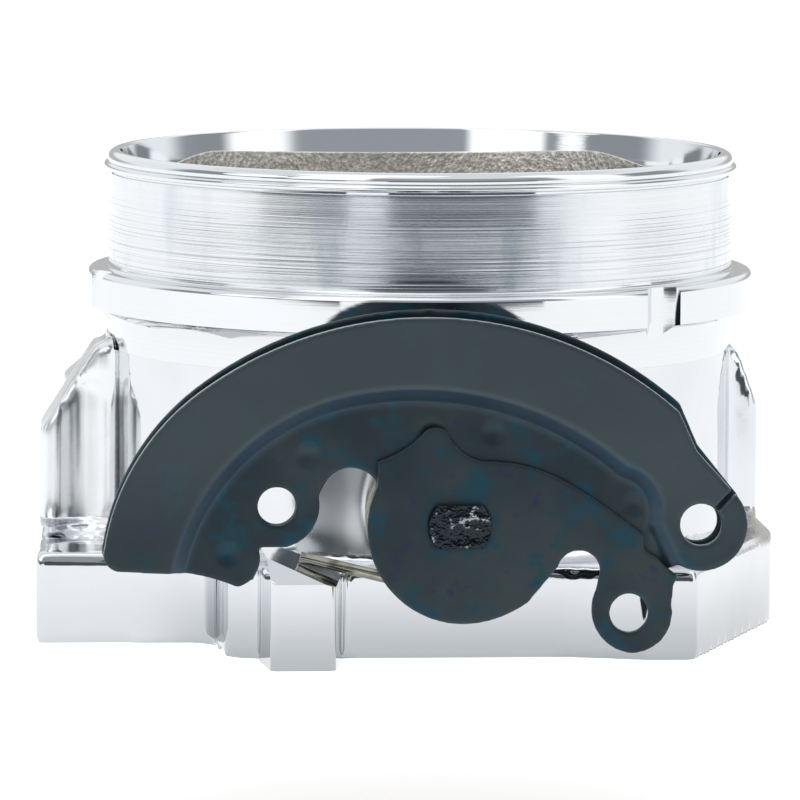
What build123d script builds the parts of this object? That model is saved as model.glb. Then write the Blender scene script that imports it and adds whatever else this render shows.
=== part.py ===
from build123d import *
import os
from math import acos, atan2, cos, degrees, hypot, radians, sin, sqrt

# Cable-operated throttle body. Millimetres, +Z up the air bore towards the inlet.
# The origin is the centre of the bore on the manifold face, and the cable cam is on the -Y side.

# ---- driving dimensions: air path --------------------------------------------------------------
bore_d = 85.0            # throttle bore
neck_d = 101.6           # spigot for a four inch air duct
total_h = 76.3           # manifold face to the crest of the lip
lip_h = 3.1              # lip above the plain neck
lip_d = 103.2            # outside of the rolled lip
mouth_d = 97.6           # machined mouth inside the lip
mouth_h = 4.2            # height of the machined mouth
throat_bottom = 46.0     # where the cast taper reaches the throttle bore
barrel_d = 101.0         # outside of the barrel below the shoulder
shoulder_d = 108.4
shoulder_z = (44.4, 51.2, 57.2)   # start of the run-out, bottom and top of the shoulder ring

# ---- driving dimensions: flange and its bolts ---------------------------------------------------
flange_t = 14.6
flange_left = (63.7, 61.6, 58.0)  # reach of the left edge at the front, middle and back
flange_right = 57.6
flange_front = (33.0, 52.0, 56.1) # reach of the front edge at its left, middle and right
flange_back = 61.6
flange_ear = 7.8                  # metal round the rear bolt
ear_slope = 40.0                  # where the ear's round starts, above its side
flange_edge = 0.9        # rounding of the flange's top edge
rib_round = 1.6
rib_foot_r = 4.5         # hollow between the left rib and the flange
boss_root = (7.0, 2.6)   # thickening where the cam boss leaves the barrel: width, length
bolt_circle_d = 112.0
bolt_count = 3
bolt_first_angle = -49.0
bolt_hole_d = 6.6        # M6 clearance
bolt_head_d = 10.4       # room for a socket head
cutter_d = 8.6           # cutter that clears the shoulder above each bolt

# ---- driving dimensions: shaft, blade and bearings ----------------------------------------------
shaft_d = 9.5
shaft_z = 24.0
shaft_flat = 6.6         # across the two flats of both ends
closed_tilt = 7.0        # blade off square to the bore when shut
open_angle = 78.0        # travel from shut to wide open
blade_t = 2.3
blade_gap = 0.12         # blade edge to bore
blade_screw_pitch = 40.0
blade_screw_d = 4.0
blade_screw_head = (7.4, 1.9)
bearing_d = 14.0
bearing_len = 10.0
seal_len = 3.0
running_gap = 0.03       # shaft in bearings and seals
shaft_tunnel_gap = 0.6   # shaft through plain metal
seat_inset = 0.4         # outer seal face below the boss face

# ---- driving dimensions: cam side ---------------------------------------------------------------
boss_wall = 1.7          # metal round the cam side bearing
cam_boss_end = 69.2      # distance of the boss face from the bore axis
sleeve_wall = 1.5
sleeve_rim_t = 1.4
sleeve_fit = 0.05
spring_wire_d = 1.8
spring_bend_r = 1.6
spring_play = 1.25       # coil to sleeve
spring_span = 10.0       # axial length of the coil, wire centres
spring_turns = 4
spring_leg_end = 5.0     # leg's end from the left side of the stop lug
spring_leg_lift = 0.2    # leg above the lug
spring_hook_angle = 60.0
spring_hook_arm = 7.0
hook_clearance = 0.15
plate_t = 1.5
cam_start = 72.0         # back of the rear plate's web, from the bore axis
band_step = 2.5          # how far the front plate's band stands forward
rear_band_set = 1.5      # how far the rear plate's band is set back
cam_hole_d = 5.9
cable_hole_d = 6.4
cable_slit = 0.8
cam_hole_at = (-28.0, 3.0)        # from the shaft's axis, across and up
cable_hole_at = (37.2, 0.2)
link_hole_at = (26.3, -13.6)
slit_at = (41.6, 4.6)
slit_len, slit_angle = 6.0, 48.0
web_disc_d = 26.0        # web behind the hub
rear_rim = 0.7           # how far the rear plate's rim stands past the front plate's
hub_plate_t = 1.2
lug = (-28.2, -18.2, 65.0, 53.0)  # stop lug: left, right, front, back
lug_top = (16.4, 13.0)   # height of its top at the left and at the right
lug_rise = 1.6           # how much the top rises towards the back
lug_chamfer = 1.6
tab_width = (20.5, 27.0) # inner and outer radius of the stop tab
tab_t = 2.0
tab_reach = 8.6          # how far the tab stands back from the rear plate
stop_gap = 0.3

# ---- driving dimensions: idle stop -------------------------------------------------------------
idle_screw_d = 4.0
idle_screw_len = 17.0
idle_screw_y = 65.0
idle_boss_d = 8.4
idle_boss_span = (6.0, 12.0)      # from the screw's tip
idle_nut = (7.0, 2.6)
idle_gap = 0.05

# ---- driving dimensions: position sensor -------------------------------------------------------
sensor_face = 62.0
sensor_boss_wall = 2.0
sensor_d = 31.0
sensor_depth = 13.0
sensor_wall = 3.0
sensor_cover_t = 2.2
sensor_floor = 3.0       # wall between the rotor and the casting
sensor_plug = (34.0, 7.0)         # reach of the connector from the axis, and half its height
plug_wall_t = 1.3
terminal_pitch = 3.4
terminal_size = (1.8, 0.8)        # width and thickness of a blade
cover_play = 0.15
sensor_pitch = 38.0      # between its two screws
sensor_ear_d = 9.6
sensor_ear_t = 4.0
sensor_seal = (22.4, 18.6, 1.9)   # outer and inner diameter of the groove, its depth
rotor_d = 23.0
rotor_len = 6.5
rotor_gap = 0.4
small_screw_d = 4.0
small_head = (7.6, 2.6)
small_screw_len = 13.0
hex_key = 3.2

# ---- driving dimensions: idle air valve and its bypass ------------------------------------------
valve_x = 38.0
valve_z = 31.0
valve_block = (26.0, 50.0, 48.5)  # left, right and back of the cast block
valve_bore_d = 20.0
valve_bore_len = 4.6
valve_cavity_d = 14.0
valve_seat_y = 33.0
valve_seat_d = 8.0
valve_seat_len = 4.5
valve_travel = 8.0
valve_seat_gap = 0.3
valve_cone = (2.4, 5.4, 4.0)      # tip radius, base radius, length
valve_stem_d = 4.0
valve_nose_fit = 0.1
valve_nose_len = 4.2
valve_can_d = 24.0
valve_can_len = 24.0
valve_pitch = 32.0
valve_block_cap = 5.0    # metal above the upper valve screw
valve_ear_d = 9.6
valve_ear_t = 4.0
valve_ring = (17.0, 1.48)         # inner diameter of the ring, and its thickness
valve_ring_room = 2.0
bypass_d = 7.0
bypass_levels = (8.0, 38.5)
inlet_drilling = (32.0, 39.5)
outlet_drilling = (38.0, 31.5)
plug_wall = 0.8
plug_len = 3.6

bore_r = bore_d / 2
shaft_r = shaft_d / 2
cam_boss_d = bearing_d + 2 * boss_wall
sensor_boss_d = bearing_d + 2 * sensor_boss_wall
spring_r = cam_boss_d / 2 + sleeve_fit + sleeve_wall + spring_play + spring_wire_d / 2
sleeve_rim_d = 2 * spring_r + 1.2
plate_levels = (cam_start + 2 * plate_t + band_step, cam_start + 2 * plate_t,
                cam_start + plate_t, cam_start)   # band front, web front, web back, rear web back
cam_normal = Plane.XZ    # its offset runs towards the cam side


def disc(radius, x=0.0, z=0.0):
    return Pos(x, z) * Circle(radius)


def towards_cam(sketch, start, end):
    """Extrude a drawing made in X and Z from y = -start to y = -end."""
    return extrude(cam_normal.offset(start) * sketch, end - start)


def rod(radius, start, end, x=0.0, z=0.0):
    """A round bar along Y, between two distances towards the cam side."""
    return towards_cam(disc(radius, x, z), start, end)


def pillar(radius, x, y, low, high):
    return Pos(x, y, (low + high) / 2) * Cylinder(radius, high - low)


def block(low, high):
    size = [b - a for a, b in zip(low, high)]
    return Pos(*low) * Box(*size, align=(Align.MIN, Align.MIN, Align.MIN))


def outline(start, *runs):
    """A closed face: a run of one point is straight, of two is an arc, of more is a free curve."""
    edges, here = [], start
    for run in runs:
        if len(run) == 1:
            edges.append(Line(here, run[0]))
        elif len(run) == 2:
            edges.append(ThreePointArc(here, *run))
        else:
            edges.append(Spline(here, *run))
        here = run[-1]
    if hypot(here[0] - start[0], here[1] - start[1]) > 1e-6:
        edges.append(Line(here, start))
    return make_face(edges)


def polar(radius, angle):
    return radius * cos(radians(angle)), radius * sin(radians(angle))


def on_shaft(shape):
    """Move a piece drawn about the origin's Y axis onto the shaft's axis."""
    return Pos(0, 0, shaft_z) * shape


def bolt_places():
    step = 360 / bolt_count
    return [polar(bolt_circle_d / 2, bolt_first_angle + step * i) for i in range(bolt_count)]


# ---- housing ------------------------------------------------------------------------------------
def turned_outside():
    run_out, ring_low, ring_top = shoulder_z
    barrel_r, ring_r, neck_r, lip_r = barrel_d / 2, shoulder_d / 2, neck_d / 2, lip_d / 2
    crest_r = mouth_d / 2 + 0.7
    neck_top = total_h - lip_h
    half = outline(
        (0, 0), [(barrel_r, 0)], [(barrel_r, run_out)],
        [((barrel_r + ring_r) / 2 - 0.6, (run_out + ring_low) / 2 + 0.6), (ring_r, ring_low)],
        [(ring_r, ring_top - 0.8)], [(ring_r - 0.3, ring_top - 0.2), (ring_r - 0.9, ring_top)],
        [(neck_r, ring_top)], [(neck_r, neck_top - 0.5)],
        [(neck_r - 0.5, neck_top - 0.3)], [(neck_r - 0.5, neck_top)], [(lip_r - 0.3, neck_top)],
        [(lip_r, neck_top + 0.6), (lip_r - 0.3, neck_top + 1.2)],
        [(lip_r - 0.8, total_h - 0.7), (crest_r, total_h)], [(0, total_h)])
    return revolve(Plane.XZ * half, Axis.Z)


def air_path():
    mouth_r = mouth_d / 2
    floor = total_h - mouth_h
    half = outline(
        (0, -1), [(bore_r, -1)], [(bore_r, throat_bottom)],
        [(bore_r + 0.62 * (mouth_r - bore_r), (throat_bottom + floor) / 2 - 1), (mouth_r - 0.5, floor)],
        [(mouth_r, floor + 0.4)], [(mouth_r, total_h - 0.4)],
        [(mouth_r + 0.15, total_h - 0.1), (mouth_r + 0.6, total_h + 0.1)],
        [(mouth_r + 0.6, total_h + 1)], [(0, total_h + 1)])
    return revolve(Plane.XZ * half, Axis.Z)


def flange():
    left, middle, rear_left = flange_left
    low, front, nose = flange_front
    ear_x, ear_y = bolt_places()[1]
    slope_x, slope_y = polar(flange_ear, ear_slope)
    plan = outline(
        (-left, -low), [(-38.5, -low - 1.0)], [(-36.2, -low - 3.4), (-35.3, -low - 7.5)],
        [(-34.6, -front + 5.0)], [(-33.2, -front + 1.2), (-30.0, -front)], [(18.0, -front)],
        [(31.0, -nose)], [(39.1, -nose)], [(flange_right - 1.2, -14.0)], [(flange_right, -6.0)],
        [(flange_right, 22.0)], [(flange_right - 2.6, 35.0), (valve_block[1], valve_block[2] - 3.0)],
        [(valve_block[0] + 2.0, valve_block[2] - 1.0)], [(ear_x + slope_x, ear_y + slope_y)],
        [(ear_x, ear_y + flange_ear), (ear_x - slope_x, ear_y + slope_y)], [(-20.0, ear_y + 1.0)],
        [(-47.5, 43.0), (-rear_left, 22.0)], [(-middle, 4.0)])
    plate = extrude(plan, flange_t)
    rims = plate.faces().sort_by(Axis.Z)[-1].edges()
    return fillet(rims, flange_edge)


def side_rib(outer, half_y, shift_y, low, high, top_in, top_z):
    """A cast rib that stands on the flange and leans in to the barrel at its top."""
    inner = (bore_r + 3.0) * (1 if outer > 0 else -1)
    face = outline((inner, low - 2), [(outer, low - 2)], [(outer, high)], [(top_in, top_z)],
                   [(inner, top_z)])
    rib = Pos(0, -shift_y, 0) * towards_cam(face, -half_y, half_y)
    sharp = rib.edges().filter_by(Axis.Z).filter_by(lambda e: abs(e.center().X - outer) < 0.01)
    slope = rib.edges().filter_by(Axis.Y).filter_by(
        lambda e: abs(e.center().X - outer) < 0.01 and e.center().Z > low)
    return fillet(sharp + slope, rib_round)


def rib_foot(outer, half_y, shift_y):
    """The hollow run from a rib's front face down onto the flange."""
    radius = rib_foot_r
    front = -shift_y - half_y
    inner = (bore_r + 4.0) * (1 if outer > 0 else -1)
    toe = outline((front + 1, flange_t - 1), [(front - radius, flange_t - 1)], [(front - radius, flange_t)],
                  [(front - 0.29 * radius, flange_t + 0.29 * radius), (front, flange_t + radius)],
                  [(front + 1, flange_t + radius)])
    return extrude(Plane.YZ.offset(min(inner, outer)) * toe, abs(outer - inner))


def lug_height(x, y):
    """The lug's top slopes up to the left and towards the barrel."""
    left, right, front, back = lug
    high, low = lug_top
    return low + (high - low) * (right - x) / (right - left) + lug_rise * (y + front) / (front - back)


def stop_lug():
    left, right, front, back = lug
    high, low = lug_top
    draft = 1.2
    foot = outline((left, -front), [(right, -front)], [(right + 1.9, -back)],
                   [(right + 1.9, -back + 4)], [(left - draft, -back + 4)], [(left - draft, -back)])
    body = extrude(foot, high + lug_rise * 2)
    upright = body.edges().filter_by(Axis.Z).sort_by(Axis.Y)[:2]
    body = fillet(upright, 1.1)
    far = 30.0
    corners = [Vector(x, y, lug_height(x, y)) for x, y in
               [(left - far, -front - far), (right + far, -front - far),
                (right + far, -back + far), (left - far, -back + far)]]
    lid = Face(Wire.make_polygon(corners, close=True))
    body -= extrude(lid, 40, dir=(0, 0, 1))
    slope = (high - low) / (right - left)
    facet = Plane(origin=(right, -front, low - 0.2), x_dir=(1, 0, -slope), z_dir=(0, -1, 1.25))
    body -= extrude(facet.offset(lug_chamfer * 0.35) * Rectangle(90, 90), 20)
    return body


def idle_line():
    """Tip of the idle stop screw and the direction in which the screw runs back from it."""
    angle = tab_shut_angle() - degrees(tab_t / 2 / idle_contact_r())
    along = Vector(sin(radians(angle)), 0, -cos(radians(angle)))
    x, z = polar(idle_contact_r(), tab_shut_angle())
    face = Vector(x, -idle_screw_y, shaft_z + z) + along * (tab_t / 2)
    return face, along


def idle_contact_r():
    return sum(tab_width) / 2 - 1.0


def tab_shut_angle():
    """Angle of the stop tab's middle when shut: wide open it lies just above the stop lug."""
    left, right, front, back = lug
    high, low = lug_top
    reach = sqrt(tab_width[1] ** 2 - (shaft_z - high) ** 2)
    x = max(left, -reach)
    z = lug_height(x, tab_reach - plate_levels[3])
    meet = degrees(atan2(z - shaft_z, x)) % 360
    return meet - degrees((tab_t / 2 + stop_gap) / tab_width[1]) - open_angle


def idle_boss():
    tip, along = idle_line()
    start, end = idle_boss_span
    middle = tip + along * ((start + end) / 2)
    across = Vector(0, -1, 0)
    frame = Plane(origin=middle, x_dir=across, z_dir=along)
    barrel = frame * Cylinder(idle_boss_d / 2, end - start)
    root = idle_screw_y - sqrt((barrel_d / 2) ** 2 - middle.X ** 2) + 2
    web = frame * Pos(-root / 2, 0, 0) * Box(root, idle_boss_d, end - start)
    return barrel + web


def boss_rod(diameter, start, end):
    return on_shaft(rod(diameter / 2, start, end))


def sensor_pad():
    inner = barrel_d / 2 - 4
    pad = Pos(0, 0, shaft_z) * towards_cam(
        Rectangle(sensor_ear_d * 1.7, sensor_pitch + sensor_ear_d), -sensor_face, -inner)
    ends = pad.edges().filter_by(Axis.Y)
    return fillet(ends, sensor_ear_d / 2 - 0.2)


def valve_block_top():
    return valve_z + valve_pitch / 2 + valve_block_cap


def valve_mount():
    left, right, back = valve_block
    top = valve_block_top()
    body = block((left, bore_r * 0.55, 0), (right, back, top))
    rounds = body.edges().filter_by(Axis.Y).sort_by(Axis.Z)[-2:]
    rounds += body.edges().filter_by(Axis.Z).sort_by(Axis.Y)[-2:]
    return fillet(rounds, 3.0)


def bypass_drillings():
    """Air way round the blade: bore above it, cavity, seat, and bore below it."""
    back = valve_block[2]
    cuts = rod(valve_bore_d / 2, -back - 1, -(back - valve_bore_len), valve_x, valve_z)
    cuts += rod(valve_cavity_d / 2, -back, -valve_seat_y, valve_x, valve_z)
    cuts += rod(valve_seat_d / 2, -valve_seat_y - 1, -(valve_seat_y - valve_seat_len), valve_x, valve_z)
    low, high = bypass_levels
    cuts += pillar(bypass_d / 2, *outlet_drilling, -1, valve_z)
    cuts += pillar(bypass_d / 2, *inlet_drilling, valve_z, valve_block_top() + 1)
    for level, (x, y) in ((low, outlet_drilling), (high, inlet_drilling)):
        near, far = bore_r - 3, hypot(x, y)
        port = Rot(0, 90, 0) * Cylinder(bypass_d / 2, far - near)
        cuts += Pos(0, 0, level) * Rot(0, 0, degrees(atan2(y, x))) * Pos((far + near) / 2, 0, 0) * port
    return cuts


def sensor_screw_places():
    return [(0, shaft_z + side * sensor_pitch / 2) for side in (-1, 1)]


def valve_screw_places():
    return [(valve_x, valve_z + side * valve_pitch / 2) for side in (-1, 1)]


def throttle_housing():
    body = turned_outside()
    body += flange()
    body += side_rib(-62.0, 7.5, 0.0, flange_t, 31.0, -53.0, 45.0)
    body += rib_foot(-61.5, 7.5, 0.0)
    body += side_rib(-57.0, 8.0, -30.0, flange_t, 36.0, -47.0, 44.5)
    body += side_rib(54.8, 7.0, 2.0, flange_t, 35.0, 51.4, 44.0)
    body += boss_rod(cam_boss_d, barrel_d / 2 - 4, cam_boss_end)
    body += boss_rod(cam_boss_d + boss_root[0], barrel_d / 2 - 4, barrel_d / 2 + boss_root[1])
    body += boss_rod(sensor_boss_d, -sensor_face, -(barrel_d / 2 - 4))
    body += sensor_pad()
    body += valve_mount()
    body += stop_lug()
    body += idle_boss()
    body -= air_path()
    body -= boss_rod(shaft_d + shaft_tunnel_gap, -sensor_face - 1, cam_boss_end + 1)
    for side, face in ((1, cam_boss_end), (-1, sensor_face)):
        deep = face - seat_inset - seal_len - bearing_len
        body -= boss_rod(bearing_d, side * deep, side * (face + 1))
    for x, y in bolt_places():
        body -= pillar(bolt_hole_d / 2, x, y, -1, flange_t + 1)
        body -= pillar(bolt_head_d / 2, x, y, flange_t - 0.4, flange_t + 25)
        body -= pillar(cutter_d / 2, x, y, flange_t - 0.2, total_h)
    tip, along = idle_line()
    bore_len = idle_screw_len + 10
    thread = Plane(origin=tip + along * (bore_len / 2 - 2), z_dir=along)
    body -= thread * Cylinder(idle_screw_d / 2, bore_len)
    body -= bypass_drillings()
    depth = small_screw_len - sensor_ear_t + 2
    for face, places in ((sensor_face, sensor_screw_places()), (valve_block[2], valve_screw_places())):
        for x, z in places:
            body -= rod(small_screw_d / 2, -face - 1, -face + depth, x, z)
    return body


# ---- bearings, seals and spring ------------------------------------------------------------------
def shaft_bearing(side, face):
    """Drawn-cup bearing: a shell with turned-in ends round a full set of needles, as one sleeve."""
    start = face - seat_inset - seal_len - bearing_len
    end = start + bearing_len
    ring = rod(bearing_d / 2, side * start, side * end) - rod(shaft_r + running_gap, side * (start - 1),
                                                              side * (end + 1))
    groove = rod(bearing_d / 2 - 1.2, side * start, side * (start + 0.6))
    groove += rod(bearing_d / 2 - 1.2, side * (end - 0.6), side * end)
    return on_shaft(ring - (groove - rod(shaft_r + 0.9, side * start, side * end)))


def shaft_seal(side, face):
    end = face - seat_inset
    start = end - seal_len
    ring = rod(bearing_d / 2, side * start, side * end) - rod(shaft_r + running_gap, side * (start - 1),
                                                              side * (end + 1))
    dish = rod(bearing_d / 2 - 0.9, side * (end - 1.0), side * end) - rod(shaft_r + 0.8, side * start,
                                                                         side * end)
    return on_shaft(ring - dish)


def spring_sleeve():
    rim_t = sleeve_rim_t
    inner = cam_boss_d / 2 + sleeve_fit
    start = cam_boss_end - spring_span - spring_wire_d * 1.5 - rim_t
    body = rod(inner + sleeve_wall, start, cam_boss_end - 0.2) + rod(sleeve_rim_d / 2, start, start + rim_t)
    return on_shaft(body - rod(inner, start - 1, cam_boss_end + 1))


def return_spring():
    """Torsion spring: one leg lies on the stop lug, the other hooks into the cam's rear plate."""
    begin = cam_boss_end - spring_span - spring_wire_d * 0.9
    end_x = lug[0] + spring_leg_end
    end_z = lug_height(end_x, -begin) + spring_wire_d / 2 + spring_leg_lift
    away = hypot(end_x, shaft_z - end_z)
    leaves = atan2(end_z - shaft_z, end_x) + acos(spring_r / away)
    start_dir = Vector(cos(leaves), 0, sin(leaves))
    turns = spring_turns + (spring_hook_angle - degrees(leaves)) / 360
    frame = Plane(origin=(0, -begin, shaft_z), x_dir=start_dir, z_dir=(0, -1, 0))
    coil = frame * Helix(spring_span / turns, spring_span, spring_r)
    leg_end = coil @ 0 - (coil % 0) * sqrt(away ** 2 - spring_r ** 2)
    corner = coil @ 1 + (coil % 1) * spring_hook_arm
    pin_end = Vector(corner.X, -(plate_levels[3] + 0.4), corner.Z)
    hook = FilletPolyline(coil @ 1, corner, pin_end, radius=spring_bend_r)
    path = Wire([Line(leg_end, coil @ 0).edge(), coil.edge(), *hook.edges()])
    section = Plane(origin=leg_end, z_dir=coil % 0) * Circle(spring_wire_d / 2)
    wire = sweep(section, path=path)
    print("spring wire volume over section times length:",
          round(wire.volume / (section.area * path.length), 4))
    return wire


# ---- idle stop -----------------------------------------------------------------------------------
def idle_stop_screw():
    tip, along = idle_line()
    tip += along * idle_gap
    frame = Plane(origin=tip, z_dir=along)
    shank = frame * Pos(0, 0, idle_screw_len / 2) * Cylinder(idle_screw_d / 2, idle_screw_len)
    shank = chamfer(shank.edges(), 0.4)
    socket = frame * Pos(0, 0, idle_screw_len - 1) * extrude(RegularPolygon(1.15, 6), 1.2)
    return shank - socket


def idle_stop_lock_nut():
    tip, along = idle_line()
    across, height = idle_nut
    start = idle_boss_span[1]
    frame = Plane(origin=tip + along * start, z_dir=along, x_dir=(0, 1, 0))
    body = extrude(RegularPolygon(across / 2, 6, major_radius=False), height)
    return frame * (body - Cylinder(idle_screw_d / 2, height * 3))


# ---- shaft, blade and cam --------------------------------------------------------------------------
def tilted(shape):
    """Turn a piece drawn square to the bore into the shut blade's plane."""
    return Pos(0, 0, shaft_z) * Rot(0, -closed_tilt, 0) * shape


def throttle_shaft():
    cam_end = plate_levels[0] + 0.3
    sensor_end = sensor_face + sensor_floor + rotor_len
    body = on_shaft(rod(shaft_r, -sensor_end, cam_end))
    flats = Rectangle(shaft_d * 2, shaft_d * 2) - Rectangle(shaft_d * 2, shaft_flat)
    for start, end in ((plate_levels[3] - 0.4, cam_end + 1), (-sensor_end - 1, -sensor_face - 2)):
        body -= on_shaft(towards_cam(flats, start, end))
    slot_len = 2 * (bore_r - blade_gap) + 0.2
    body -= tilted(Box(shaft_d * 2, slot_len, blade_t))
    for y in blade_screw_rows():
        body -= tilted(Pos(0, y, 0) * Cylinder(blade_screw_d / 2, shaft_d * 2))
        body -= tilted(Pos(0, y, shaft_r - 0.5) * Cylinder(blade_screw_head[0] / 2 + 0.3, 1.0))
    return body


def blade_screw_rows():
    return [side * blade_screw_pitch / 2 for side in (-1, 1)]


def throttle_blade():
    body = tilted(Box(bore_d * 1.3, bore_d * 1.3, blade_t))
    body &= Pos(0, 0, shaft_z) * Cylinder(bore_r - blade_gap, bore_d)
    for y in blade_screw_rows():
        body -= tilted(Pos(0, y, 0) * Cylinder(blade_screw_d / 2, blade_t * 3))
    return body


def blade_screws():
    head_d, head_h = blade_screw_head
    made = Part()
    for y in blade_screw_rows():
        head = chamfer(Cylinder(head_d / 2, head_h).edges().sort_by(Axis.Z)[-1], 0.5)
        head = Pos(0, 0, shaft_r - 1.0 + head_h / 2) * head
        shank = Pos(0, 0, -0.5) * Cylinder(blade_screw_d / 2, 2 * shaft_r - 1.0)
        cross = Pos(0, 0, shaft_r - 1.0 + head_h) * (Box(4.2, 0.8, 1.6) + Box(0.8, 4.2, 1.6))
        made += tilted(Pos(0, y, 0) * (head + shank - cross))
    return made


def cam_outline(rim):
    """Cable cam seen along the shaft, from the shaft's axis; rim stands the top edge out."""
    return outline(
        (-54.6, -3.1), [(-50.4, 9.2), (-40.2 - rim * 0.2, 20.8 + rim * 0.2)],
        [(-3.2, 32.3 + rim), (33.7 + rim, 17.7 + rim)], [(36.5 + rim, 11.6 + rim * 0.5)],
        [(42.2 + rim * 0.5, 5.3)], [(42.4, -4.9), (33.8, -6.1)], [(30.5, -8.2)],
        [(22.0, -3.6)], [(9.0, 3.0)],
        [(-12.9, 3.0)], [(-12.7, 6.6)], [(-16.4, 8.9), (-20.4, 6.9)], [(-21.6, 4.6)],
        [(-22.5, -0.5), (-26.4, -3.3)], [(-30.9, -3.3)], [(-31.2, -7.4), (-34.0, -9.5)],
        [(-38.0, -8.1), (-42.0, -7.25)], [(-52.6, -6.7)], [(-54.1, -5.8), (-54.6, -3.1)])


def band_region(inset):
    """The part of the cam outside the bend between its flat web and its standing band."""
    left_c, left_r = (-10.2, -13.8), 34.95 - inset
    right_c, right_r = (-7.05, -29.4), 50.9 - inset

    def at(centre, radius, angle):
        x, z = polar(radius, angle)
        return centre[0] + x, centre[1] + z
    lug_edge = 30.3 - inset * 0.6
    return outline(
        (at(left_c, left_r, 169)), [at(left_c, left_r, 135), at(left_c, left_r, 99.3)],
        [at(right_c, right_r, 75), at(right_c, right_r, 49)],
        [(lug_edge - 0.5, 4.8), (lug_edge, 0.2)],
        [(33.4 - inset * 0.5, -6.2 - inset * 0.3)], [(36.0, -12.0)], [(70, -12.0)], [(70, 60)],
        [(-80, 60)], [(-80, -30)], [(at(left_c, left_r, 169)[0], -30)])


def stepped_plate(shape, front, step, towards):
    """A sheet whose band stands off its web by step, through a sloping bend."""
    back = front - plate_t
    web = towards_cam(shape, back, front)
    if towards > 0:
        raised = extrude(cam_normal.offset(front) * band_region(step), step, taper=45)
        hollow = extrude(cam_normal.offset(back) * band_region(step), step, taper=45)
    else:
        raised = extrude(cam_normal.offset(back) * band_region(step), -step, taper=45)
        hollow = extrude(cam_normal.offset(front) * band_region(step), -step, taper=45)
    prism = towards_cam(shape, back - 2 * abs(step), front + 2 * abs(step))
    return (web + (raised & prism)) - hollow


def shaft_window():
    return disc(shaft_r) & Rectangle(shaft_d * 2, shaft_flat)


def cam_sheet(rim):
    """Outline shared by both cam plates, with the holes that go through both."""
    shape = cam_outline(rim) + disc(web_disc_d / 2)
    shape -= shaft_window()
    shape -= disc(cam_hole_d / 2, *cam_hole_at)
    shape -= disc(cable_hole_d / 2, *cable_hole_at)
    return shape


def cam_front_plate():
    band, web_front = plate_levels[:2]
    shape = cam_sheet(0.0)
    shape -= Pos(*slit_at) * Rot(0, 0, slit_angle) * Rectangle(slit_len, cable_slit)
    return on_shaft(stepped_plate(shape, web_front, band - web_front, 1))


def cam_rear_plate():
    web_back, rear_back = plate_levels[2:]
    shape = cam_sheet(rear_rim)
    hook_x, hook_z = polar(spring_r, spring_hook_angle)
    arm = spring_hook_arm / spring_r
    shape -= disc(spring_wire_d / 2 + hook_clearance, hook_x - hook_z * arm, hook_z + hook_x * arm)
    plate = stepped_plate(shape, web_back, rear_band_set, -1)
    inner, outer = tab_width
    tab = Rot(0, 0, tab_shut_angle()) * Pos((inner + outer) / 2, 0) * Rectangle(outer - inner, tab_t)
    plate += towards_cam(tab, rear_back - tab_reach, rear_back + 0.5)
    return on_shaft(plate)


def cam_hub_plate():
    """Front web plate: the round hub, its arm and the lower lug."""
    web_front = plate_levels[1]
    shape = outline(
        (-13.7, 3.6), [(-13.4, -5.0), (0.7, -15.3)], [(6.4, -14.2), (10.7, -11.9)], [(15.3, -6.4)],
        [(18.5, -3.9), (21.8, -6.9)], [(21.2, -10.0)], [(20.5, -13.4), (26.7, -19.9)],
        [(32.1, -16.9), (32.9, -12.4)], [(33.2, -9.2)], [(34.0, -7.9)], [(32.2, -6.6), (30.6, -5.0)],
        [(28.5, -3.7)], [(28.5, -1.4)], [(22.3, 3.1), (14.4, 7.8), (4.5, 9.9)],
        [(0.6, 11.3), (-2.0, 14.6)], [(-3.8, 15.3), (-5.6, 14.4)], [(-9.2, 11.5), (-12.7, 10.0)],
        [(-12.6, 6.6)])
    shape -= shaft_window()
    shape -= disc(cam_hole_d / 2, *link_hole_at)
    return on_shaft(towards_cam(shape, web_front, web_front + hub_plate_t))


# ---- position sensor -------------------------------------------------------------------------------
def sensor_housing():
    ears = make_hull([*[e for x, z in sensor_screw_places()
                        for e in disc(sensor_ear_d / 2, x, z - shaft_z).edges()]])
    body = towards_cam(ears, -(sensor_face + sensor_ear_t), -sensor_face)
    body += rod(sensor_d / 2, -(sensor_face + sensor_depth), -sensor_face)
    plug_low, plug_high = sensor_face + sensor_floor, sensor_face + sensor_depth
    reach, half = sensor_plug
    room = half - plug_wall_t
    body += block((-reach, plug_low, -half), (-sensor_d / 2 + 4, plug_high, half))
    body -= block((-reach - 1, plug_low + plug_wall_t, -room), (-reach + 12, plug_high - plug_wall_t, room))
    body -= rod(sensor_d / 2 - sensor_wall, -(sensor_face + sensor_depth + 1), -plug_low)
    body -= rod(shaft_r + 0.8, -(sensor_face + 4), -(sensor_face - 1))
    outer, inner, thick = sensor_seal
    body -= rod(outer / 2, -(sensor_face + thick), -(sensor_face - 1)) - rod(
        inner / 2, -(sensor_face + thick), -(sensor_face - 1))
    for z in (-sensor_pitch / 2, sensor_pitch / 2):
        body -= rod(small_screw_d / 2 + 0.2, -(sensor_face + sensor_ear_t + 1), -(sensor_face - 1), 0, z)
        body -= rod(small_head[0] / 2 + 0.3, -(sensor_face + 40), -(sensor_face + sensor_ear_t), 0, z)
    return on_shaft(body - terminal_blades())


def terminal_rows():
    return [-terminal_pitch, 0.0, terminal_pitch]


def terminal_blades():
    """Flat blades that run from the connector through its wall to the rotor's room."""
    width, thick = terminal_size
    level = sensor_face + sensor_floor + (sensor_depth - sensor_floor - thick) / 2
    tip, root = 3.0 - sensor_plug[0], sensor_wall - sensor_d / 2 - 1.0
    made = Part()
    for z in terminal_rows():
        made += block((tip, level, z - width / 2), (root, level + thick, z + width / 2))
    return made


def sensor_terminals():
    return on_shaft(terminal_blades())


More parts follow.
